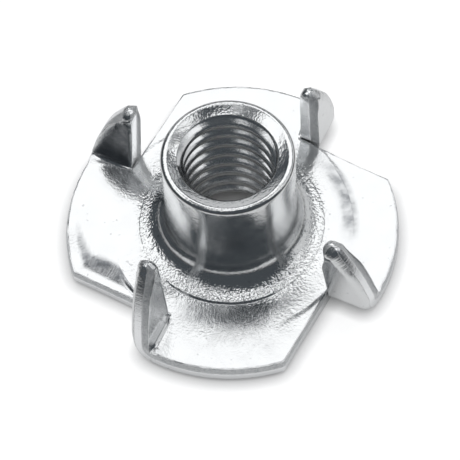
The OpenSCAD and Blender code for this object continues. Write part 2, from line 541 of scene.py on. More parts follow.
@dataclass
class Barrel:
    """Everything that is round about the axis, from the mouth out to the slits' ends."""

    sizes: NutSizes
    columns: int
    painted_patches: PaintedDarkPatches = PaintedDarkPatches()
    drawn_wave: Ripple = Ripple(size=0.8, seed=7.7, height=0.0035)
    wide_wave: Ripple = Ripple(size=0.9, seed=1.3, height=0.003)
    small_wave: Ripple = Ripple(size=0.3, seed=2.9, height=0.0015)
    lip_worn: float = 0.09
    ring_worn: float = 0.08
    struck: float = -95.0
    struck_half: tuple[float, float] = (20.0, 42.0)
    lift_at: tuple[float, ...] = (-0.02, 0.0, 0.02, 0.04, 0.08, 0.15, 0.3, 0.5, 0.7, 0.9, 1.1,
                                  1.3, 1.5)
    lift: tuple[float, ...] = (0.03, 0.057, 0.1, 0.119, 0.114, 0.106, 0.09, 0.07, 0.05, 0.031,
                               0.015, 0.004, 0.0)

    def turns(self, amount: int) -> np.ndarray:
        """Directions of a ring's points, which start at the first slit's end."""
        return self.sizes.inner_turn + 360.0 * np.arange(amount) / amount

    def mouth(self) -> Profile:
        """Worn funnel and rounded lip.

        Returns:
            Rows of radius, height and how far the sheet was drawn.
        """
        s = self.sizes
        lip_r = s.barrel_r - s.lip_radius
        reach, climb = lip_r - self.lip_worn - s.mouth_r, s.height - 0.018 - s.mouth_z
        rows = [(s.mouth_r + reach * t, s.mouth_z + climb * t - 0.03 * t * (1.0 - t), 0.2)
                for t in (0.0, 0.05, 0.15, 0.3, 0.45, 0.6, 0.75, 0.88, 1.0)]
        rows.append((lip_r - 0.05, s.height - 0.004, 0.2))
        for t in np.arange(9) / 8:
            x, z = polar(90.0 - 90.0 * t, s.lip_radius)
            rows.append((lip_r + x, s.height - s.lip_radius + z, 0.2 + 0.8 * t))
        return rows

    def flare(self) -> Profile:
        """Straight wall, flare and slope down to the ring's edge.

        Returns:
            Rows of radius, height and how far the sheet was drawn.
        """
        s = self.sizes
        top = s.sheet + s.dish_rise
        last = math.radians(s.flare_turn)
        out = s.barrel_r + s.flare_radius * (1.0 - math.cos(last))
        width = s.ring_r - self.ring_worn - out
        foot = top + width * math.tan(math.radians(s.ring_slope))
        lip_z, start = s.height - s.lip_radius, foot + s.flare_radius * math.sin(last)
        rows = [(s.barrel_r, lip_z + (start - lip_z) * t, 1.0)
                for t in (0.04, 0.1, 0.2, 0.32, 0.44, 0.56, 0.68, 0.8, 0.92)]
        for t in np.arange(19) / 18:
            rows.append((s.barrel_r + s.flare_radius * (1.0 - math.cos(last * t)),
                         start - s.flare_radius * math.sin(last * t), 1.0 - 0.6 * t))
        rows += [(out + width * t, foot + (top - foot) * t, 0.3) for t in (0.25, 0.5, 0.75, 1.0)]
        return rows + [(s.ring_r - 0.05, top - 0.008, 0.3), (s.ring_r - 0.025, top - 0.024, 0.3)]

    def cone(self) -> Profile:
        """Upper profile from the ring to the slits' ends.

        Returns:
            Rows of radius and height.
        """
        s = self.sizes
        rows = [(s.ring_r, s.sheet + 0.215), (s.ring_r + 0.02, s.sheet + 0.168)]
        radii = [s.ring_r + t for t in (0.04, 0.08, 0.15, 0.3, 0.5, 0.7, 0.9, 1.1, 1.3, 1.45)]
        return rows + [(r, s.sheet + float(s.crown(r))) for r in (*radii, s.inner_r)]

    def lower(self) -> Profile:
        """Lower profile from the way in to the ring.

        Returns:
            Rows of radius and height.
        """
        s = self.sizes
        edge = s.bore_r + s.entry_radius
        return [(edge, s.dish_rise), (edge + 0.05, s.dish_rise - 0.002), (3.6, s.dish_rise),
                (4.3, s.dish_rise), (5.0, s.dish_rise)]

    def lower_cone(self) -> Profile:
        """Lower profile from the ring to the slits' ends.

        Returns:
            Rows of radius and height.
        """
        s = self.sizes
        rows = [(s.ring_r + (s.dish_r - s.ring_r) * t, s.dish_rise * (1.0 - t))
                for t in (0.0, 0.06, 0.25, 0.5, 0.75, 0.94, 1.0)]
        return rows + [(s.inner_r, 0.0)]

    def ring_points(self, rows: Profile, amount: int) -> np.ndarray:
        """Points of rings round the axis.

        Args:
            rows: the profile to turn round the axis.
            amount: how many points each ring has.

        Returns:
            Positions, one row for each entry of the profile.
        """
        table = np.array([row[:2] for row in rows])
        flat = polar(self.turns(amount)[None, :], table[:, :1])
        z = np.broadcast_to(table[:, 1:2], flat.shape[:2])
        return np.concatenate([flat, z[..., None]], axis=-1)

    def add_upper(self, skin: Skin) -> np.ndarray:
        """Adds the barrel's outside, from the mouth to the ring.

        Args:
            skin: the surface to add to.

        Returns:
            The points' numbers, one row for each ring.
        """
        rows = self.mouth() + self.flare()
        points = self.ring_points(rows, self.columns)
        heights, drawn = np.array(rows)[:, 1:2], np.array(rows)[:, 2:3]
        wave = self.drawn_wave.at(points) * ramp(np.abs(heights - 8.45), 0.05, 0.3)
        points[..., :2] += polar(self.turns(self.columns))[None] * wave[..., None]
        out = np.linalg.norm(points[..., :2], axis=-1)
        low, high = points[..., 2] < 3.0, points[..., 2] > 8.3
        grain = low * ramp(out, 3.95, 4.6) + high * ramp(out, 3.75, 3.6) * 0.3
        upper = skin.add(points, drawn=drawn, grain=grain)
        skin.grid(upper, closed=True)
        return upper

    def add_cone(self, skin: Skin) -> np.ndarray:
        """Adds the dished top of the flange, with the step that the press struck in it.

        Args:
            skin: the surface to add to.

        Returns:
            The points' numbers, one row for each ring.
        """
        turns = self.turns(2 * self.columns)
        points = self.ring_points(self.cone(), len(turns))
        out = np.linalg.norm(points[..., :2], axis=-1)
        wave = self.wide_wave.at(points) + self.small_wave.at(points)
        wave[-1] = 0.0
        wave[:2] *= 0.3
        away = np.abs((turns + 180.0 - self.struck) % 360.0 - 180.0)
        weak = ramp(away, *self.struck_half)[None]
        points[..., 2] += wave + weak * np.interp(out - self.sizes.ring_r, self.lift_at, self.lift)
        # painted shade: the dark reflection patches on the dish go into the colour mark here
        dull = self.painted_patches.at(points)
        cone = skin.add(points, drawn=0.25, dull=dull, deep=out,
                        grain=ramp(out, 5.8, 5.3) * 0.6 + 0.14 + 0.2 * dull,
                        run=np.radians(turns)[None] * self.sizes.inner_r)
        return cone

    def build(self, skin: Skin) -> tuple[np.ndarray, np.ndarray]:
        """Adds the round middle of the nut.

        Args:
            skin: the surface to add to.

        Returns:
            Numbers of the rings at the slits' inner ends, upper and lower.
        """
        upper = self.add_upper(skin)
        cone = self.add_cone(skin)
        skin.double(upper[-1], cone[0])
        skin.grid(cone, closed=True)
        lower = skin.add(self.ring_points(self.lower(), self.columns), drawn=0.3)
        skin.grid(lower, closed=True)
        lower_cone = skin.add(self.ring_points(self.lower_cone(), 2 * self.columns))
        skin.double(lower[-1], lower_cone[0])
        skin.grid(lower_cone, closed=True)
        bore = ThreadedBore(self.sizes, self.columns)
        bore.build(skin, self.turns(self.columns), upper[0], lower[0])
        return cone[-1], lower_cone[-1]


@dataclass(frozen=True)
class ShearedEdge:
    """The cut face of the sheet, from its rolled-over side to its torn side."""

    levels: tuple[float, ...] = (0.07, 0.18, 0.3, 0.42, 0.5, 0.56, 0.64, 0.73, 0.82, 0.9, 0.96)
    taper: float = 0.075
    rough: float = 0.02
    crumb_size: float = 0.28

    def inset(self, deep: np.ndarray, where: np.ndarray, seed: float) -> np.ndarray:
        """How far the cut face lies inside the outline.

        Args:
            deep: share of the way from the rolled side to the torn side.
            where: positions in millimetres.
            seed: shift of the noise.

        Returns:
            The distances in millimetres.
        """
        slope = self.taper * ramp(deep, 0.45, 1.05)
        crumbs = Ripple(self.crumb_size, seed, 3).at(where)
        return slope + ramp(deep, 0.5, 0.62) * self.rough * (0.6 + crumbs)

    def torn(self, deep: np.ndarray) -> np.ndarray:
        """Share of torn metal at a level of the cut face."""
        return ramp(deep, 0.48, 0.6)


@dataclass
class LobePlan:
    """Where a lobe's points lie, seen from above and before it is turned to its place."""

    outline: np.ndarray
    away: np.ndarray
    roll: np.ndarray
    steps: np.ndarray
    flat: np.ndarray
    gap: np.ndarray
    along: np.ndarray

    @property
    def length(self) -> float:
        """Length of the outline from the fold to the slit's inner end."""
        return float(self.steps[-1])

    @property
    def out_r(self) -> np.ndarray:
        """Distance of each point from the axis."""
        return np.linalg.norm(self.flat, axis=-1)

    @property
    def from_fold(self) -> np.ndarray:
        """Distance of each point from the fold."""
        return np.linalg.norm(self.flat - self.flat[:, :1], axis=-1)


@dataclass
class LobeParts:
    """Numbers of the points that a lobe shares with the prongs beside it."""

    fold_top: np.ndarray
    fold_low: np.ndarray
    fold_wall: np.ndarray
    slit_wall: np.ndarray


@dataclass
class Lobe:
    """One lobe of the flange, between its fold and its slit."""

    sizes: NutSizes
    number: int
    columns: int
    fit: LobeFit
    painted_patches: PaintedDarkPatches = PaintedDarkPatches()
    edge: ShearedEdge = ShearedEdge()
    rim_share: float = 0.52
    corner_share: float = 0.08
    wave: Ripple = Ripple(size=1.1, seed=1.3, height=0.004)
    burr: float = 0.024
    burr_wave: Ripple = Ripple(size=0.3, seed=9.4)
    wall_seed: float = 4.2
    rows: tuple[float, ...] = (
        2.61, 2.58, 2.54, 2.48, 2.4, 2.31, 2.2, 2.06, 1.9, 1.72, 1.54, 1.36, 1.2, 1.06, 0.93,
        0.81, 0.7, 0.6, 0.5, 0.41, 0.33, 0.25, 0.18, 0.12, 0.075, 0.04, 0.018, 0.0)

    def outline(self) -> tuple[np.ndarray, np.ndarray, np.ndarray]:
        """Outline from the fold along the rim, round the corner and in along the slit.

        Returns:
            One point for each column, the outward direction there, and the share of the
            rolled edge's full depth.
        """
        s = self.sizes
        across, along = polar(s.slit_angle), polar(s.slit_angle - 90.0)
        x = s.slit_offset - s.corner_radius
        y = math.sqrt((s.flange_r - s.corner_radius) ** 2 - x**2)
        centre = x * across + y * along
        corner = math.degrees(math.atan2(centre[1], centre[0]))
        first = math.degrees(math.atan2(s.fold_rim[1], s.fold_rim[0]))
        n_rim = round(self.columns * self.rim_share)
        n_corner = round(self.columns * self.corner_share)
        n_slit = self.columns - n_rim - n_corner
        rim_turn = first + (corner - first) * np.arange(n_rim) / n_rim
        turn = corner + (s.slit_angle - corner) * np.arange(n_corner) / n_corner
        share = np.arange(n_slit + 1) / n_slit
        end = s.slit_end @ polar(s.slit_angle - s.step - 90.0)
        slit = s.slit_offset * across + (y + (end - y) * share)[:, None] * along
        points = np.concatenate([
            polar(rim_turn, s.flange_r), centre + polar(turn, s.corner_radius), slit])
        away = np.concatenate([
            polar(rim_turn), polar(turn), np.broadcast_to(across, slit.shape)])
        roll = np.concatenate([
            np.ones(n_rim + n_corner), ramp(1.0 - share, 0.0, 0.8) * 0.95 + 0.05 * (share < 1)])
        return points, away, roll

    def plan(self) -> LobePlan:
        """Lays out the lobe's points between its outline and the ring of the slits' ends.

        Returns:
            The places and what is known of them.
        """
        s = self.sizes
        outline, away, roll = self.outline()
        steps = np.linalg.norm(np.diff(outline, axis=0), axis=1)
        turns = s.inner_turn + s.step * np.arange(self.columns + 1) / self.columns
        share = np.array(self.rows) / self.rows[0]
        inward = polar(turns, s.inner_r) - outline
        flat = outline[None] + inward[None] * share[:, None, None]
        gap, along = distance_to_path(flat, outline)
        return LobePlan(outline, away, roll, np.concatenate([[0.0], np.cumsum(steps)]), flat,
                        gap, along)

    def turned(self, flat: np.ndarray, z: np.ndarray) -> np.ndarray:
        """Turns points to this lobe's place and gives them a height.

        Args:
            flat: places on the first lobe, seen from above.
            z: height of each.

        Returns:
            Positions in the nut's frame.
        """
        a = math.radians(self.number * self.sizes.step)
        c, n = math.cos(a), math.sin(a)
        x = flat[..., 0] * c - flat[..., 1] * n
        y = flat[..., 0] * n + flat[..., 1] * c
        return np.stack([x, y, z], axis=-1)

    def top_z(self, plan: LobePlan) -> np.ndarray:
        """Height of the lobe's top: dish, ripples, the sag beside its edge and the burr.

        Args:
            plan: where the lobe's points lie.

        Returns:
            One height for each point.
        """
        s = self.sizes
        place = self.turned(plan.flat, np.zeros(plan.gap.shape))
        by_fold = ramp(plan.from_fold, 0.05, 0.6)
        inner = ramp(np.array(self.rows)[::-1], 0.0, 0.4)[:, None]
        wave = self.wave.at(place) * by_fold * inner
        depth = self.fit.sag * (0.3 + 0.7 * ramp(plan.along, plan.length * 0.32,
                                                 plan.length * 0.5))
        level = np.interp(plan.gap, [0.5, 0.62, 1.4, 1.58], [0.0, 0.07, 0.93, 1.0]) - 1.0
        sag = depth * level * by_fold * ramp(plan.out_r, s.inner_r, s.inner_r + 0.3)
        burr = self.burr * ramp(plan.gap, 0.11, 0.0) * (0.9 + self.burr_wave.at(place))
        fade = ramp(plan.length - plan.along + plan.gap, 0.0, 0.5)
        return s.sheet + s.crown(plan.out_r) + fade * (wave + sag - burr)

    def dull_edge(self, plan: LobePlan) -> np.ndarray:
        """Cover of the painted dark band, standing in for a dark reflection, that follows the rim
        and the slit, inside the edge.

        Args:
            plan: where the lobe's points lie.

        Returns:
            A share from 0 to 1.
        """
        middle = np.interp(plan.along, [4.6, 7.5, 8.9, 11.2], [0.66, 1.1, 1.15, 1.0])
        half = np.interp(plan.along, [4.6, 7.0, 9.0, 11.5], [0.12, 0.34, 0.52, 0.5])
        full = np.interp(plan.along, [4.4, 6.2, 8.2, 11.6, 12.6], [0.0, 0.65, 1.0, 0.9, 0.0])
        return self.fit.dull_edge * full * ramp(np.abs(plan.gap - middle), half * 1.25, half * 0.5)

    def build(self, skin: Skin, top_ring: np.ndarray, low_ring: np.ndarray) -> LobeParts:
        """Adds the lobe's faces and its cut edge.

        Args:
            skin: the surface to add to.
            top_ring: numbers of the upper ring's points from this slit's end to the next.
            low_ring: numbers of the lower ring's points likewise.

        Returns:
            The numbers that the prongs on either side share.
        """
        s = self.sizes
        plan = self.plan()
        run = plan.along + self.number * 20.0
        y = plan.flat @ s.fold_out
        far, z_top = s.fillet(plan.flat @ s.fold_way, y, self.top_z(plan))
        flat_top = plan.flat + (far - y)[..., None] * s.fold_out
        z_low = s.roll(plan.gap, np.interp(plan.along, plan.steps, plan.roll))

        ends = ramp(plan.length - plan.steps, 0.0, 0.5) * ramp(plan.steps, 0.0, 0.5)
        rim = self.turned(plan.outline[None], z_top[-1][None])
        inset = self.edge.inset(np.ones((1, len(ends))), rim, self.wall_seed) * ends
        shift = self.turned(-plan.away * inset[0][:, None], np.zeros(len(ends)))
        torn_in = ramp(np.array(self.rows), 0.35, 0.0)[:, None, None] * shift[None]

        place = self.turned(plan.flat, np.zeros(plan.gap.shape))
        # painted shade: the dark reflection patches and the band along the edge
        dull = self.painted_patches.at(place, self.dull_edge(plan))
        grain = np.maximum(0.14 * ramp(plan.out_r, 7.4, 6.9), 0.25 * dull)
        top = skin.add(self.turned(flat_top, z_top) + torn_in, rim=ramp(plan.gap, 0.25, 0.0),
                       run=run, deep=plan.gap, dull=dull, grain=grain)
        low = skin.add(self.turned(plan.flat, z_low), run=run, deep=plan.gap)
        top[0], low[0] = top_ring, low_ring
        top[:, -1], low[:, -1] = top_ring[-1], low_ring[-1]
        skin.grid(top)
        skin.grid(low)
        wall = self.add_wall(skin, plan, ends, z_low[-1], z_top[-1])
        skin.grid(np.concatenate([low[-1:], wall, top[-1:]]))
        return LobeParts(top[:, 0], low[:, 0], wall[:, 0], wall[:, -1])

    def add_wall(self, skin: Skin, plan: LobePlan, ends: np.ndarray, low: np.ndarray,
                 high: np.ndarray) -> np.ndarray:
        """Adds the points of the lobe's cut edge.

        Args:
            skin: the surface to add to.
            plan: where the lobe's points lie.
            ends: share of the edge's full inset at each column.
            low: height of the edge's lower end at each column.
            high: height of its upper end.

        Returns:
            Numbers of the points, lowest first.
        """
        levels = np.array(self.edge.levels)[:, None] + np.zeros(len(low))[None]
        z = low[None] + (high - low)[None] * levels
        wide = np.broadcast_to(plan.outline[None], (*levels.shape, 2))
        inset = self.edge.inset(levels, self.turned(wide, z), self.wall_seed) * ends[None]
        flat = wide - plan.away[None] * inset[..., None]
        return skin.add(self.turned(flat, z), sheared=1.0, torn=self.edge.torn(levels),
                        run=plan.steps[None] + self.number * 20.0, deep=levels)


class Face(Enum):
    """The prong's two broad faces."""

    INNER = "inner"  # inside the fold
    OUTER = "outer"


class Side(Enum):
    """The prong's two cut sides, with the faces' column at each."""

    SLIT = 0
    CURVED = -1  # was the flange's rim


@dataclass
class ProngPlan:
    """The rows and columns of a prong, laid out flat from the fold line up to the tip."""

    turn: np.ndarray
    up: np.ndarray
    share: np.ndarray
    slit_gap: np.ndarray
    rim_gap: np.ndarray
    rim_run: np.ndarray
    slit_roll: np.ndarray
    rim_roll: np.ndarray


@dataclass
class Prong:
    """One prong and its fold, from the lobe that it belongs to up to its tip."""

    sizes: NutSizes
    number: int
    fit: LobeFit
    edge: ShearedEdge = ShearedEdge()
    bend_rows: int = 12
    blade_rows: int = 36
    tip_rows: int = 8
    heel_rise: float = 0.7
    wall_seed: float = 6.1
    wave: Ripple = Ripple(size=0.9, seed=5.5, height=0.005)
    nicks: Ripple = Ripple(size=0.32, seed=8.8)
    nick_depth: float = 0.035
    nick_heights: tuple[float, float] = (4.2, 6.2)
    near_along: tuple[float, float] = (5.6, 6.1)
    near_out: tuple[float, float] = (3.6, 2.6)
    held_along: tuple[float, float] = (6.0, 6.7)
    held_out: tuple[float, float] = (-0.9, 0.5)

    @property
    def bend(self) -> float:
        """Angle through which the sheet is folded."""
        return 90.0 - self.fit.spring_back

    @property
    def prong_z(self) -> float:
        """Height at which the fold ends."""
        return self.sizes.sheet + self.sizes.fold_radius

    @property
    def blank_z(self) -> float:
        """Height of the blank's centre on the upright prong."""
        return self.prong_z - self.sizes.fold_start - self.sizes.fold_length

    @property
    def foot(self) -> float:
        """Distance of the slit's side along the fold, at the foot of the blade."""
        s = self.sizes
        lean = math.radians(s.lean)
        return s.slit_offset / math.cos(lean) - s.fold_start * math.tan(lean) + s.slit_gap

    @property
    def tip(self) -> np.ndarray:
        """Centre of the tip's rounding.

        Returns:
            The distance along the fold, and the height.
        """
        s = self.sizes
        side = polar(s.lean)
        depth = float((np.array([self.foot, self.prong_z]) - [0.0, self.blank_z]) @ side)
        depth += self.fit.tip_radius
        rise = math.sqrt((s.prong_r - self.fit.tip_radius) ** 2 - depth**2)
        return np.array([0.0, self.blank_z]) + depth * side + rise * polar(90.0 + s.lean)

    def rows(self) -> tuple[np.ndarray, np.ndarray]:
        """The rows across the prong, after the fold line.

        Returns:
            The angle through which the sheet has turned at each row, and the height up
            the blade.
        """
        r, tip_z = self.fit.tip_radius, self.tip[1]
        turn = self.bend * np.arange(1, self.bend_rows + 1) / self.bend_rows
        blade = tip_z + 0.25 * r - self.prong_z
        up = blade * np.arange(1, self.blade_rows + 1) / self.blade_rows
        low = math.degrees(math.asin(0.25))
        swing = low + (90.0 - low) * np.arange(1, self.tip_rows + 1) / self.tip_rows
        cap = tip_z - self.prong_z + r * np.sin(np.radians(swing))
        rise = np.concatenate([np.zeros(self.bend_rows), up, cap])
        return np.concatenate([turn, np.full(len(up) + len(cap), self.bend)]), rise

    def slit_side(self, turn: np.ndarray, up: np.ndarray, level: np.ndarray,
                  half: np.ndarray) -> np.ndarray:
        """Where the slit's side is.

        Args:
            turn: angle through which the sheet has turned.
            up: height up the blade.
            level: height on the upright prong.
            half: half the tip's width at that height.

        Returns:
            Distance along the fold.
        """
        s, tip = self.sizes, self.tip
        slit = s.fold_from + (self.foot - s.fold_from) * ramp(turn / self.bend, 0.0, 1.0)
        slit = slit - up * math.tan(math.radians(s.lean))
        touch = tip[1] + polar(180.0 + s.lean, self.fit.tip_radius)[1]
        return np.where(level > touch, np.maximum(slit, tip[0] - half), slit)

    def curved_side(self, y: np.ndarray, level: np.ndarray, half: np.ndarray) -> np.ndarray:
        """Where the curved side is, which was the flange's rim.

        Args:
            y: distance out from the axis, across the fold.
            level: height on the upright prong.
            half: half the tip's width at that height.

        Returns:
            Distance along the fold.
        """
        s, tip = self.sizes, self.tip
        circle = np.sqrt(np.clip(s.prong_r**2 - (level - self.blank_z) ** 2, 0.0, None))
        heel_z = self.prong_z + self.heel_rise
        heel = math.sqrt(s.prong_r**2 - (heel_z - self.blank_z) ** 2)
        spread = (s.flange_r - heel) / self.heel_rise
        curve = np.where(level < heel_z, heel + spread * (heel_z - level), circle)
        curve = np.minimum(curve, np.sqrt(s.flange_r**2 - y**2))
        angle = math.atan2(tip[1] - self.blank_z, tip[0])
        touch = tip[1] + self.fit.tip_radius * math.sin(angle)
        return np.where(level > touch, tip[0] + half, curve)

    def sides(self, turn: np.ndarray, up: np.ndarray, deep: np.ndarray) -> tuple[
            np.ndarray, np.ndarray, np.ndarray, np.ndarray]:
        """Where the prong's sides are, with the tip rounded in every direction.

        Args:
            turn: angle through which the sheet has turned.
            up: height up the blade.
            deep: distance from the fold's inner side through the sheet.

        Returns:
            Distance along the fold of the slit's side and of the curved side, and the
            distance out and the height of the row.
        """
        s, tip, r = self.sizes, self.tip, self.fit.tip_radius
        near = np.clip((self.prong_z + up - tip[1] - r) / (1.2 * r) + 1.0, 0.0, 1.0)
        thin = s.sheet / 2 + (deep - s.sheet / 2) * np.sqrt(1.0 - (0.98 * near) ** 2)
        radius = s.fold_radius + thin
        full = math.radians(self.bend)
        y = s.fold_start + radius * np.sin(np.radians(turn)) + up * math.cos(full)
        z = self.prong_z - radius * np.cos(np.radians(turn)) + up * math.sin(full)
        level = self.prong_z + up - radius * np.cos(np.radians(turn * 90.0 / self.bend))
        half = np.sqrt(np.clip(r**2 - np.clip(level - tip[1], -r, r) ** 2, 0.0, None))
        slit = self.slit_side(turn, up, level, half)
        curve = self.curved_side(y, level, half)
        off = np.clip(deep / s.sheet * 2.0 - 1.0, -1.0, 1.0)
        worn = ramp(level, tip[1] - 1.2, tip[1] + 0.1)
        slim = 1.0 - worn * (1.0 - np.sqrt(1.0 - 0.75 * off**2))
        middle = tip[0] + np.maximum(tip[1] - level, 0.0) * 0.1
        return middle + (slit - middle) * slim, middle + (curve - middle) * slim, y, z

    def placed(self, along: np.ndarray, y: np.ndarray, z: np.ndarray) -> np.ndarray:
        """Places points by their distances from this prong's fold.

        Args:
            along: distance along the fold.
            y: distance out from the axis, across the fold.
            z: height.

        Returns:
            Positions in the nut's frame.
        """
        turn = self.sizes.fold_angle + self.number * self.sizes.step
        flat = along[..., None] * polar(turn + 90.0) + y[..., None] * polar(turn)
        return np.concatenate([flat, z[..., None]], axis=-1)

    def crown_lift(self, along: np.ndarray, y: np.ndarray, turn: np.ndarray) -> np.ndarray:
        """How far the flange's dish still lifts the sheet where it starts to bend."""
        return self.sizes.crown(np.hypot(along, y)) * ramp(turn, 70.0, 0.0)

    def plan(self) -> ProngPlan:
        """Lays out the prong's rows and columns.

        Returns:
            The rows and columns, with the depth of the rolled edges at each.
        """
        s = self.sizes
        turn, up = self.rows()
        share = 1.0 - np.array(Lobe.rows) / Lobe.rows[0]
        flat_up = s.fold_length * self.bend / 90.0 * turn / self.bend + up
        slit, curve, _, _ = self.sides(turn, up, np.full(len(turn), s.sheet / 2))
        slit_path = np.concatenate([[[s.fold_from, 0.0]], np.stack([slit, flat_up], axis=-1)])
        rim_path = np.concatenate([[[s.fold_to, 0.0]], np.stack([curve, flat_up], axis=-1)])
        place = slit[:, None] + (curve - slit)[:, None] * share[None]
        plane = np.stack([place, flat_up[:, None] + 0.0 * place], axis=-1)
        slit_gap, _ = distance_to_path(plane, slit_path)
        rim_gap, rim_run = distance_to_path(plane, rim_path)
        slit_depth = ramp(up / up[-1], 0.0, 0.7)[:, None] * 0.35
        return ProngPlan(turn, up, share, slit_gap, rim_gap, rim_run,
                         s.roll(slit_gap * 2.2, slit_depth), s.roll(rim_gap))

    def add_face(self, skin: Skin, plan: ProngPlan, face: Face) -> np.ndarray:
        """Adds the points of one broad face.

        Args:
            skin: the surface to add to.
            plan: the prong's rows and columns.
            face: which of the two faces.

        Returns:
            Numbers of the points, one row after another up the prong.
        """
        inner = face is Face.INNER
        turn, up = plan.turn[:, None], plan.up[:, None]
        deep = plan.slit_roll if inner else self.sizes.sheet - plan.rim_roll
        slit, curve, y, z = self.sides(turn, up, deep)
        along = slit + (curve - slit) * plan.share[None]
        if inner:
            y, z = self.sizes.fillet(along, y, z)
            z = z + self.crown_lift(along, y, turn)
        points = self.placed(along, y, z)
        near = np.minimum(plan.slit_gap, plan.rim_gap)
        wave = self.wave.at(points)
        wave *= ramp(up / up[-1], 0.0, 0.2) * ramp(near, 0.0, 0.25)
        points += self.facing()[None, None] * wave[..., None]
        torn_gap = plan.rim_gap if inner else plan.slit_gap
        rubbed, dull = ramp(torn_gap, 0.22, 0.0), 0.0
        if inner:
            # painted shade: the inner face is darkened away from its edges, standing in for the
            # dark studio it mirrors
            dull = self.fit.dull_prong * ramp(near, 0.05, 0.3) * ramp(turn, 20.0, 70.0)
        else:
            rubbed = np.maximum(rubbed, ramp(plan.rim_gap, 0.6, 0.3))
        return skin.add(points, run=plan.rim_run + 9.0 * self.number + 3.0, rim=rubbed,
                        deep=torn_gap, dull=dull)

    def build(self, skin: Skin, own: LobeParts, before: LobeParts) -> None:
        """Adds the prong's two faces and its cut edges.

        Args:
            skin: the surface to add to.
            own: points shared with the prong's own lobe, at its fold.
            before: points shared with the lobe before it, at the slit's end.
        """
        plan = self.plan()
        inner = np.concatenate([own.fold_top[None], self.add_face(skin, plan, Face.INNER)])
        outer = np.concatenate([own.fold_low[None], self.add_face(skin, plan, Face.OUTER)])
        for face in (inner, outer):
            face[-1] = face[-1, 0]
            skin.grid(face)
        slit_wall = self.add_wall(skin, plan, Side.SLIT)
        rim_wall = self.add_wall(skin, plan, Side.CURVED)
        rim_wall[:, -1] = slit_wall[:, -1]
        for side, start, wall in ((Side.SLIT, before.slit_wall, slit_wall),
                                  (Side.CURVED, own.fold_wall, rim_wall)):
            rows = np.concatenate([start[:, None], wall], axis=1)
            ends = outer[None, :, side.value], inner[None, :, side.value]
            skin.grid(np.concatenate([ends[0], rows, ends[1]]))

    def facing(self) -> np.ndarray:
        """Direction that the prong's outer face looks in.

        Returns:
            A direction of length 1.
        """
        s = self.sizes
        tilt = math.radians(self.fit.spring_back)
        flat = polar(s.fold_angle + self.number * s.step, math.cos(tilt))
        return np.array([flat[0], flat[1], -math.sin(tilt)])

    def add_wall(self, skin: Skin, plan: ProngPlan, side: Side) -> np.ndarray:
        """Adds the points of one cut side of the prong.

        Args:
            skin: the surface to add to.
            plan: the prong's rows and columns.
            side: which of the two sides.

        Returns:
            Numbers of the points, outer face first.
        """
        s, column, curved = self.sizes, side.value, side is Side.CURVED
        turn, up = plan.turn[None], plan.up[None]
        levels = np.array(self.edge.levels)[:, None]
        outer = s.sheet - plan.rim_roll[:, column][None]
        deep = outer + (plan.slit_roll[:, column][None] - outer) * levels
        slit, curve, y, z = self.sides(turn, up, deep)
        along = curve if curved else slit
        cut = (levels if curved else 1.0 - levels) + 0.0 * along
        foot, left = ramp(up, 0.0, 0.6), up[0, -1] - up
        inset = self.edge.inset(cut, self.placed(along, y, z), self.wall_seed) * foot
        inset = np.minimum(inset * ramp(left, 0.0, 0.8), 0.45 * np.abs(curve - slit))
        climb = np.maximum(np.gradient(plan.up + 0.07 * plan.turn), 1e-3)
        facing = 1.0 / np.sqrt(1.0 + (np.gradient(along, axis=1) / climb) ** 2)
        z = z + self.crown_lift(along, y, turn) * (1.0 - deep / s.sheet)
        inward = -inset if curved else inset
        points = self.placed(along + inward * facing, y, z)
        points[..., 2] -= inset * np.sqrt(1.0 - facing**2) * foot * ramp(left, 0.0, 0.3)
        return skin.add(points, sheared=1.0, torn=self.edge.torn(cut), deep=cut,
                        run=up + 9.0 * self.number)

    def settle(self, skin: Skin) -> None:
        """Moves the prong to where its fold left it, stretches it and wears its tip.

        Args:
            skin: the surface that holds the points.
        """
        s = self.sizes
        turn = s.fold_angle + self.number * s.step
        fold, out = polar(turn + 90.0), polar(turn)
        for points in skin.points:
            along, y = points[:, :2] @ fold, points[:, :2] @ out
            near = ramp(along, *self.near_along) * ramp(y, *self.near_out)
            held = near * ramp(along, *self.held_along) * ramp(y, *self.held_out)
            points[:, :2] += (self.fit.shift * held)[:, None] * out
            blade = near * ramp(y, 0.0, 0.3)
            high = np.clip(points[:, 2] - s.sheet - 0.2, 0.0, None)
            points[:, 2] += (self.fit.stretch - 1.0) * high * blade
            points[:, :2] += (self.fit.lean * high * blade)[:, None] * fold
            worn = ramp(points[:, 2], *self.nick_heights) * (blade > 0.99)
            some = np.flatnonzero(worn > 0.0)
            if len(some):
                nick = self.nicks.at(points[some]) * worn[some] * self.nick_depth
                points[some, :2] += nick[:, None] * out
                points[some, 2] += nick


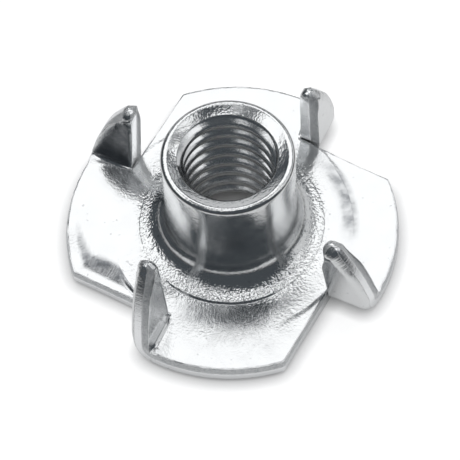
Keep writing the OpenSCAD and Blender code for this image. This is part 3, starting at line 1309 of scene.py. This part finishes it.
@dataclass
class TeeNut:
    """The whole nut, one pressed piece."""

    sizes: NutSizes = field(default_factory=NutSizes)
    columns: int = 200
    fits: tuple[LobeFit, ...] = (
        LobeFit(spring_back=1.0, sag=0.035, shift=-0.2, stretch=1.07, tip_radius=0.6,
                lean=-0.085),
        LobeFit(spring_back=0.0, sag=0.02, shift=0.2, stretch=1.07, tip_radius=0.45),
        # this lobe carries painted shade on its prong's inner face and along its edge
        LobeFit(spring_back=1.0, sag=0.14, shift=0.14, stretch=1.09, tip_radius=0.38,
                dull_prong=0.85, dull_edge=1.0),
        LobeFit(spring_back=5.0, sag=0.03, shift=-0.26, stretch=1.16, tip_radius=0.38),
    )

    def build(self) -> bpy.types.Object:
        """Makes the nut's mesh.

        Returns:
            The mesh object.
        """
        skin = Skin()
        top, low = Barrel(self.sizes, self.columns).build(skin)
        count = len(top) // self.sizes.lobes
        parts = []
        for k, fit in enumerate(self.fits):
            span = np.arange(k * count, (k + 1) * count + 1) % len(top)
            parts.append(Lobe(self.sizes, k, count, fit).build(skin, top[span], low[span]))
        prongs = [Prong(self.sizes, k, fit) for k, fit in enumerate(self.fits)]
        for k, prong in enumerate(prongs):
            prong.build(skin, parts[k], parts[k - 1])
        for prong in prongs:
            prong.settle(skin)
        return skin.build("pressed_nut")

    def dress(self, nut: bpy.types.Object) -> None:
        """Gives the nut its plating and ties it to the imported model.

        Args:
            nut: the mesh object.
        """
        nut.data.materials.append(ZincPlate().make())
        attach(nut, "root")
        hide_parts("tee_nut")


Socket = bpy.types.NodeSocket
Value = float | Socket


class Graph:
    """Adds nodes to a node tree and joins them up."""

    def __init__(self, tree: bpy.types.NodeTree) -> None:
        """Keeps the tree to add to."""
        self.tree = tree

    def node(self, kind: str, settings: dict | None = None, **inputs: object) -> bpy.types.Node:
        """Adds a node.

        Args:
            kind: the node's type.
            settings: properties of the node.
            inputs: values or sockets by input name, with _ for a space.

        Returns:
            The node.
        """
        made = self.tree.nodes.new(kind)
        for key, value in (settings or {}).items():
            setattr(made, key, value)
        for key, value in inputs.items():
            self.put(made.inputs[key.replace("_", " ")], value)
        return made

    def put(self, socket: Socket, value: object) -> None:
        """Joins a socket to another, or gives it a constant.

        Args:
            socket: the input to fill.
            value: a socket or a constant.
        """
        if isinstance(value, bpy.types.NodeSocket):
            self.tree.links.new(value, socket)
        else:
            socket.default_value = value

    def first_of(self, made: bpy.types.Node, *values: object) -> Socket:
        """Fills a node's first inputs in order, and returns its first output."""
        for socket, value in zip(made.inputs, values):
            self.put(socket, value)
        return made.outputs[0]

    def math(self, operation: str, *values: Value) -> Socket:
        """Adds a sum or other plain operation on numbers."""
        return self.first_of(self.node("ShaderNodeMath", {"operation": operation}), *values)

    def times(self, first: Value, second: Value) -> Socket:
        """Multiplies two numbers."""
        return self.math("MULTIPLY", first, second)

    def ramp(self, value: Value, low: float, high: float) -> Socket:
        """Smooth step of a value, from 0 at low to 1 at high."""
        made = self.node("ShaderNodeMapRange", {"interpolation_type": "SMOOTHSTEP"})
        return self.first_of(made, value, low, high, 0.0, 1.0)

    def scale(self, value: Value, low: float, high: float) -> Socket:
        """Turns a share between 0 and 1 into a value between low and high."""
        return self.math("MULTIPLY_ADD", value, high - low, low)

    def mark(self, mark: Mark) -> Socket:
        """Reads one of the surface's marks."""
        return self.node("ShaderNodeAttribute", {"attribute_name": mark.value}).outputs["Fac"]

    def vector(self, x: Value, y: Value, z: Value) -> Socket:
        """Puts three numbers together."""
        return self.node("ShaderNodeCombineXYZ", None, X=x, Y=y, Z=z).outputs[0]

    def vectors(self, operation: str, *values: object) -> Socket:
        """Adds a plain operation on vectors."""
        return self.first_of(self.node("ShaderNodeVectorMath", {"operation": operation}), *values)

    def blend(self, share: Value, first: Socket | Colour, second: Colour) -> Socket:
        """Blends two colours.

        Args:
            share: share of the second colour, from 0 to 1.
            first: the colour at 0.
            second: the colour at 1.

        Returns:
            The blended colour.
        """
        made = self.node("ShaderNodeMix", {"data_type": "RGBA"}, Factor=share)
        self.put(made.inputs[6], first if isinstance(first, Socket) else (*first, 1.0))
        self.put(made.inputs[7], (*second, 1.0))
        return made.outputs[2]


@dataclass(frozen=True)
class Texture:
    """One kind of unevenness: its fineness, and the depth of its relief in millimetres."""

    scale: float
    detail: float
    rough: float
    depth: float = 0.0

    def noise(self, g: Graph, place: Socket) -> Socket:
        """Smooth noise between 0 and 1, with features about 1 / scale wide."""
        made = g.node("ShaderNodeTexNoise", None, Vector=place, Scale=self.scale,
                      Detail=self.detail, Roughness=self.rough)
        return made.outputs[0]

    def relief(self, g: Graph, height: Socket, before: Socket | None = None,
               strength: Value = 1.0) -> Socket:
        """Raises the surface by the noise, over the relief that is already there.

        Args:
            g: the material's nodes.
            height: the noise.
            before: direction of the surface so far.
            strength: share of the full depth.

        Returns:
            The surface's direction.
        """
        made = g.node("ShaderNodeBump", None, Height=height, Strength=strength,
                      Distance=self.depth * MM)
        if before is not None:
            g.put(made.inputs["Normal"], before)
        return made.outputs[0]


@dataclass(frozen=True)
class ZincPlate:
    """Bright zinc plating over pressed steel."""

    colour: Colour = (0.762, 0.77, 0.774)
    dark: Colour = (0.5, 0.52, 0.54)
    # colour of the specks and of the painted shade patches
    stain_and_painted_shade: Colour = (0.17, 0.18, 0.195)
    cut: Colour = (0.93, 0.94, 0.95)
    roughness: float = 0.14
    torn_more: float = 0.28
    bore_more: float = 0.03
    rim_more: float = 0.12
    sheared_more: float = 0.04
    peel: Texture = Texture(3200.0, 3.0, 0.55, 0.005)
    fine: Texture = Texture(7200.0, 2.0, 0.6, 0.007)
    drawing: Texture = Texture(6000.0, 2.0, 0.6, 0.004)
    sparkle: Texture = Texture(6000.0, 1.0, 0.6, 0.04)
    rubbing: Texture = Texture(1.0, 2.0, 0.6, 0.035)
    shearing: Texture = Texture(1.0, 2.0, 0.6, 0.014)
    scratches: Texture = Texture(1.0, 2.0, 0.6, 0.02)
    crumbs: Texture = Texture(9000.0, 3.0, 0.65, 0.09)
    worn: Texture = Texture(900.0, 3.0, 0.6)
    specks: Texture = Texture(2600.0, 1.0, 0.5)
    along_cut: tuple[float, float] = (14.0, 1.6)
    along_rim: tuple[float, float] = (8.0, 0.7)
    up_the_wall: Colour = (1.0, 1.0, 0.12)
    glossiest: float = 0.8
    least_glossy: float = 1.3
    pit_shade: float = 0.65
    groove_shade: float = 0.2
    cut_shine: float = 0.8
    speck_stain: float = 0.3
    name: str = "zinc_plate"

    def make(self) -> bpy.types.Material:
        """Makes the material.

        Returns:
            A node material.
        """
        made = bpy.data.materials.new(self.name)
        made.use_nodes = True
        g = Graph(made.node_tree)
        shader = made.node_tree.nodes["Principled BSDF"]
        shader.inputs["Metallic"].default_value = 1.0
        place = g.node("ShaderNodeTexCoord").outputs["Object"]
        marks = {mark: g.mark(mark) for mark in MARKS}
        peel, crumbs = self.peel.noise(g, place), self.crumbs.noise(g, place)
        g.put(shader.inputs["Normal"], self.surface(g, place, marks, peel, crumbs))
        g.put(shader.inputs["Roughness"], self.gloss(g, place, marks))
        g.put(shader.inputs["Base Color"], self.tint(g, place, marks, peel, crumbs))
        return made

    def surface(self, g: Graph, place: Socket, marks: dict[Mark, Socket], peel: Socket,
                crumbs: Socket) -> Socket:
        """Relief of the plating, of the drawn and cut zones and of the torn edges.

        Args:
            g: the material's nodes.
            place: position on the nut.
            marks: the surface's marks.
            peel: noise of the plating's peel.
            crumbs: noise of the torn metal.

        Returns:
            The surface's direction.
        """
        run, deep = marks[Mark.RUN], marks[Mark.DEEP]
        across = g.vector(g.times(run, self.along_cut[0]), g.times(deep, self.along_cut[1]), 0.0)
        beside = g.vector(g.times(deep, self.along_rim[0]), g.times(run, self.along_rim[1]), 0.0)
        upright = g.vectors("MULTIPLY", place, self.up_the_wall)
        cuts = self.shearing.noise(g, across)
        smooth_cut = g.math("SUBTRACT", marks[Mark.SHEARED], marks[Mark.TORN])
        normal = self.peel.relief(g, peel)
        for texture, height, strength in (
                (self.fine, self.fine.noise(g, place), 1.0),
                (self.drawing, self.drawing.noise(g, upright), marks[Mark.DRAWN]),
                (self.sparkle, self.sparkle.noise(g, place), marks[Mark.GRAIN]),
                (self.rubbing, self.rubbing.noise(g, beside), marks[Mark.RIM]),
                (self.shearing, cuts, smooth_cut),
                (self.scratches, cuts, marks[Mark.PAINTED_SHADE]),
                (self.crumbs, crumbs, marks[Mark.TORN])):
            normal = texture.relief(g, height, normal, strength)
        return normal

    def gloss(self, g: Graph, place: Socket, marks: dict[Mark, Socket]) -> Socket:
        """Roughness of the plating, more where it is torn, tapped, rubbed or cut.

        Args:
            g: the material's nodes.
            place: position on the nut.
            marks: the surface's marks.

        Returns:
            The roughness.
        """
        worn = g.ramp(self.worn.noise(g, place), 0.35, 0.7)
        rough = g.scale(worn, self.roughness * self.glossiest, self.roughness * self.least_glossy)
        for mark, more in ((Mark.TORN, self.torn_more), (Mark.BORE, self.bore_more),
                           (Mark.RIM, self.rim_more), (Mark.SHEARED, self.sheared_more)):
            rough = g.math("ADD", rough, g.times(marks[mark], more))
        return rough

    def tint(self, g: Graph, place: Socket, marks: dict[Mark, Socket], peel: Socket,
             crumbs: Socket) -> Socket:
        """Colour of the metal: plating, pits, painted shade in the thread's grooves, clean cuts,
        specks and painted dark reflections.

        Args:
            g: the material's nodes.
            place: position on the nut.
            marks: the surface's marks.
            peel: noise of the plating's peel.
            crumbs: noise of the torn metal.

        Returns:
            The colour.
        """
        pits = g.times(g.times(g.ramp(crumbs, 0.6, 0.35), marks[Mark.TORN]), self.pit_shade)
        # painted shade: inside the bore the colour darkens towards the roots of the thread's
        # grooves
        grooves = g.scale(g.ramp(marks[Mark.DEEP], 0.5, 0.9), 0.0, self.groove_shade)
        shade = g.math("MAXIMUM", pits, g.times(marks[Mark.BORE], grooves))
        smooth_cut = g.math("SUBTRACT", marks[Mark.SHEARED], marks[Mark.TORN])
        # painted shade: patches that stand in for dark reflections, read from the mark
        painted_shade_cover = g.times(marks[Mark.PAINTED_SHADE], g.scale(g.ramp(peel, 0.3, 0.7), 0.8, 1.0))
        specks = g.times(g.ramp(self.specks.noise(g, place), 0.7, 0.78), self.speck_stain)
        plating = g.blend(shade, self.colour, self.dark)
        plating = g.blend(g.times(smooth_cut, self.cut_shine), plating, self.cut)
        return g.blend(g.math("MAXIMUM", painted_shade_cover, specks), plating, self.stain_and_painted_shade)


@dataclass(frozen=True)
class View:
    """The camera, by its direction and distance from the nut."""

    elevation: float = 58.91
    turn: float = 7.2
    roll: float = -3.78
    distance: float = 0.2
    aim: tuple[float, float] = (-0.00014, 0.00038)
    lens: float = 273.1
    sensor: float = 36.0

    def build(self) -> bpy.types.Object:
        """Places the camera and makes it the scene's.

        Returns:
            The camera object.
        """
        e, a = math.radians(self.elevation), math.radians(self.roll)
        side = Vector((1.0, 0.0, 0.0))
        head = Vector((0.0, math.sin(e), math.cos(e)))
        look = Vector((0.0, math.cos(e), -math.sin(e)))
        right = side * math.cos(a) + head * math.sin(a)
        up = -side * math.sin(a) + head * math.cos(a)
        place = Vector((*self.aim, 0.0)) - look * self.distance
        turn = Matrix.Rotation(math.radians(self.turn), 3, "Z")
        data = bpy.data.cameras.new("camera")
        data.lens = self.lens
        data.sensor_width = self.sensor
        data.clip_start, data.clip_end = 0.01, 20.0
        made = bpy.data.objects.new("camera", data)
        bpy.context.scene.collection.objects.link(made)
        axes = Matrix([turn @ right, turn @ up, turn @ -look]).transposed()
        made.matrix_world = Matrix.Translation(turn @ place) @ axes.to_4x4()
        bpy.context.scene.camera = made
        return made


@dataclass(frozen=True)
class Floor:
    """The pale floor, which stays white but for the nut's soft shadow; part of that shadow is
    painted into its glow.
    """

    radius: float = 3.0
    drop: float = 0.00001
    near_white: tuple[float, float] = (60.0, 25.0)
    near_mirror: tuple[float, float] = (30.0, 12.0)
    under_barrel: tuple[float, float] = (4.5, 6.5)
    under_barrel_light: float = 0.17
    shade_reach: float = 0.85
    colour: tuple[float, float] = (0.1, 0.56)
    seen_light: tuple[float, float] = (0.99, 0.8)
    mirrored_light: float = 0.5

    def build(self) -> bpy.types.Object:
        """Lays the floor.

        Returns:
            The floor object.
        """
        mesh = bpy.data.meshes.new("floor")
        work = bmesh.new()
        bmesh.ops.create_circle(work, cap_ends=True, segments=96, radius=self.radius)
        work.to_mesh(mesh)
        work.free()
        made = bpy.data.objects.new("floor", mesh)
        made.location.z = -self.drop
        bpy.context.scene.collection.objects.link(made)
        mesh.materials.append(self.paint())
        return made

    def paint(self) -> bpy.types.Material:
        """Makes the floor's white paint, which metal mirrors as well.

        Returns:
            A node material.
        """
        paint = bpy.data.materials.new("floor_paint")
        paint.use_nodes = True
        g = Graph(paint.node_tree)
        shader = paint.node_tree.nodes["Principled BSDF"]
        shader.inputs["Roughness"].default_value = 1.0
        shader.inputs["Specular IOR Level"].default_value = 0.0
        shader.inputs["Emission Color"].default_value = (1.0, 1.0, 1.0, 1.0)
        far = g.node("ShaderNodeVectorMath", {"operation": "LENGTH"})
        g.put(far.inputs[0], g.node("ShaderNodeTexCoord").outputs["Object"])
        # painted pool of light: the floor's pale colour and the glow that metal mirrors fade out
        # away from the nut
        near, close, outside = (
            g.ramp(far.outputs["Value"], a * MM, b * MM)
            for a, b in (self.near_white, self.near_mirror, self.under_barrel))
        g.put(shader.inputs["Base Color"], g.scale(near, *self.colour))
        # painted shadow: the glow is cut by ambient occlusion near the nut and under the barrel
        touch = g.node("ShaderNodeAmbientOcclusion", {"samples": 8},
                       Distance=self.shade_reach * MM)
        painted_shadow = g.times(touch.outputs["AO"], g.scale(outside, self.under_barrel_light, 1.0))
        path = g.node("ShaderNodeLightPath").outputs
        mirrored = g.math("MAXIMUM", path["Is Glossy Ray"], path["Is Transmission Ray"])
        lift = g.math("MAXIMUM", g.times(path["Is Camera Ray"], g.scale(near, *self.seen_light)),
                      g.times(g.times(mirrored, close), self.mirrored_light))
        g.put(shader.inputs["Emission Strength"], g.times(lift, painted_shadow))
        return paint


@dataclass(frozen=True)
class Panel:
    """A soft bright patch of the studio, by direction.

    Angles are degrees: the turn is measured from straight behind the nut as the camera
    sees it, to the right, and the rise from the floor.
    """

    turn: float
    half_turn: float
    low: float
    high: float
    light: float
    soft_turn: float = 12.0
    soft_rise: float = 6.0

    def cover(self, g: Graph, turn: Socket, rise: Socket) -> Socket:
        """Share of the panel's light in a direction.

        Args:
            g: the world's nodes.
            turn: the direction's turn.
            rise: the direction's rise.

        Returns:
            A share from 0 to 1.
        """
        off = g.math("ABSOLUTE", g.math("WRAP", g.math("SUBTRACT", turn, self.turn), 180.0, -180.0))
        half, edge = self.soft_turn / 2, self.soft_rise / 2
        above = g.ramp(rise, self.low - edge, self.low + edge)
        below = g.ramp(rise, self.high + edge, self.high - edge)
        return g.times(g.ramp(off, self.half_turn + half, self.half_turn - half),
                       g.times(above, below))


@dataclass(frozen=True)
class SoftLight:
    """The studio's light: large soft panels round and above the nut."""

    behind: float
    fill: Colour = (0.068, 0.077, 0.086)
    panels: tuple[Panel, ...] = (
        Panel(turn=-68.0, half_turn=36.0, low=40.0, high=66.0, light=1.25, soft_turn=16.0),
        Panel(turn=17.0, half_turn=49.0, low=40.0, high=70.5, light=1.25, soft_turn=16.0),
        Panel(turn=0.0, half_turn=200.0, low=77.5, high=100.0, light=1.25),
        Panel(turn=0.0, half_turn=34.0, low=-10.0, high=18.0, light=0.6),
        Panel(turn=52.0, half_turn=18.0, low=-10.0, high=30.0, light=0.6),
        Panel(turn=-147.0, half_turn=18.0, low=58.0, high=73.0, light=0.7),
        Panel(turn=98.0, half_turn=18.0, low=42.0, high=66.0, light=1.1),
        Panel(turn=88.0, half_turn=16.0, low=8.0, high=42.0, light=0.65),
    )

    def build(self) -> bpy.types.World:
        """Lights the scene.

        Returns:
            The world that holds the panels.
        """
        world = bpy.data.worlds.new("studio")
        world.use_nodes = True
        g = Graph(world.node_tree)
        turned = g.node("ShaderNodeVectorRotate", {"rotation_type": "Z_AXIS"},
                        Vector=g.node("ShaderNodeTexCoord").outputs["Generated"],
                        Angle=-math.radians(self.behind))
        parts = g.node("ShaderNodeSeparateXYZ", None, Vector=turned.outputs[0]).outputs
        rise = g.times(g.math("ARCSINE", parts["Z"]), 180.0 / math.pi)
        turn = g.times(g.math("ARCTAN2", parts["Y"], parts["X"]), -180.0 / math.pi)
        total: Value = 0.0
        for panel in self.panels:
            total = g.math("MULTIPLY_ADD", panel.cover(g, turn, rise), panel.light, total)
        colour = g.vectors("ADD", g.vector(total, total, total), self.fill)
        g.put(world.node_tree.nodes["Background"].inputs["Color"], colour)
        bpy.context.scene.world = world
        return world


def main() -> None:
    """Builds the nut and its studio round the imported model."""
    logging.basicConfig(level=logging.INFO, format="%(name)s: %(message)s")
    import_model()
    bpy.context.scene.view_settings.view_transform = "Standard"
    view = View()
    for part in (view, Floor(), SoftLight(behind=90.0 + view.turn)):
        LOG.info("%s: in place", part.build().name)
    nut = TeeNut()
    nut.dress(nut.build())
    bpy.context.view_layer.update()


if __name__ == "__main__":
    main()
